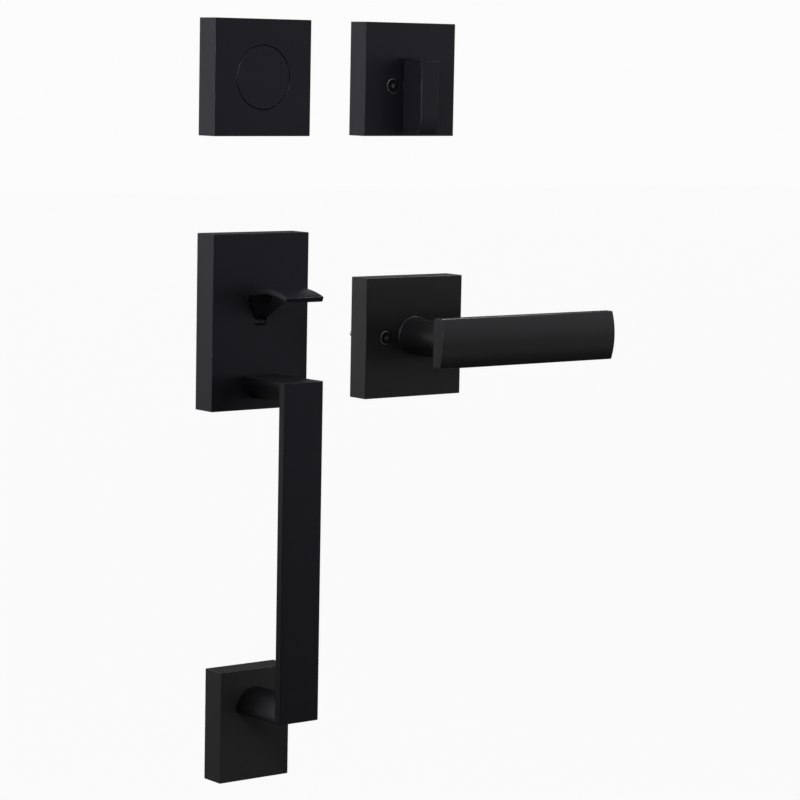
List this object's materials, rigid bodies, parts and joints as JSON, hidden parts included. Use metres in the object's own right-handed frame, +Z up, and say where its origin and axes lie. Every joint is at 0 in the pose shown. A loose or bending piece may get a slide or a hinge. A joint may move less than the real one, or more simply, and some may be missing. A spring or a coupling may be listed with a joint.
{
  "type": "entry door handleset",
  "caption": "Square-cornered black entry door handleset: thumb-latch grip handle and blank deadbolt rose for outside, lever and thumb-turn deadbolt rose for inside.",
  "frame": {"origin": "centre of the latch bore on the back plane of the outer handle plate, midway between its two posts", "axes": "+X to the right as one looks at the trims, +Y into the door, +Z up; the backs of all the trims lie on Y = 0"},
  "size_m": [0.2643, 0.1021, 0.4419],
  "materials": {
    "black_coat": "satin black coating on die-cast zinc",
    "black_screw": "black coated steel",
    "plated_steel": "zinc plated",
    "spring_steel": "oiled spring steel",
    "nylon": "natural nylon"
  },
  "bodies": {
    "trims": {"deadbolt_outer_rose": "black_coat", "blank_plug": "black_coat", "plug_retaining_ring": "spring_steel", "deadbolt_outer_backplate": "plated_steel", "deadbolt_outer_posts": "plated_steel", "deadbolt_inner_rose": "black_coat", "turn_washer": "nylon", "deadbolt_inner_backplate": "plated_steel", "deadbolt_screws": "black_screw", "handle_plate": "black_coat", "handle_backplate": "plated_steel", "handle_posts": "plated_steel", "thumb_pivot_pin": "plated_steel", "thumb_spring": "spring_steel", "grip": "black_coat", "grip_screws": "plated_steel", "foot_rose": "black_coat", "foot_backplate": "plated_steel", "lever_rose": "black_coat", "neck_bush": "black_coat", "lever_spring": "spring_steel", "lever_backplate": "plated_steel", "lever_screws": "black_screw", "backplate_screws": "plated_steel"},
    "thumb": {"thumb_piece": "black_coat"},
    "cam": {"lift_cam": "plated_steel", "cam_clip": "spring_steel", "latch_spindle": "plated_steel"},
    "turn": {"thumb_turn": "black_coat", "turn_clip": "spring_steel", "turn_tailpiece": "plated_steel"},
    "lever_body": {"lever": "black_coat", "lever_retaining_ring": "spring_steel", "lever_hub": "plated_steel", "lever_set_screw": "plated_steel"}
  },
  "joints": [
    {"name": "thumb_press", "type": "hinge", "parent": "trims", "child": "thumb", "pos_m": [0, -0.009, 0.009], "axis": [1, 0, 0], "range_deg": [0, 15], "stiffness_Nm_per_rad": 0.25, "springref_deg": -45.84, "deforming": ["thumb_spring"]},
    {"name": "cam_turn", "type": "hinge", "parent": "trims", "child": "cam", "pos_m": [0, 0, 0], "axis": [0, -1, 0], "range_deg": [0, 30]},
    {"name": "turn_swing", "type": "hinge", "parent": "trims", "child": "turn", "pos_m": [0.107, 0, 0.136], "axis": [0, 1, 0], "range_deg": [0, 90]},
    {"name": "lever_press", "type": "hinge", "parent": "trims", "child": "lever_body", "pos_m": [0.1135, 0, -0.0135], "axis": [0, 1, 0], "range_deg": [0, 50], "stiffness_Nm_per_rad": 0.8, "springref_deg": -28.65, "deforming": ["lever_spring"]}
  ],
  "couplings": [
    {"joint": "cam_turn", "follows": "thumb_press", "ratio": 2}
  ]
}
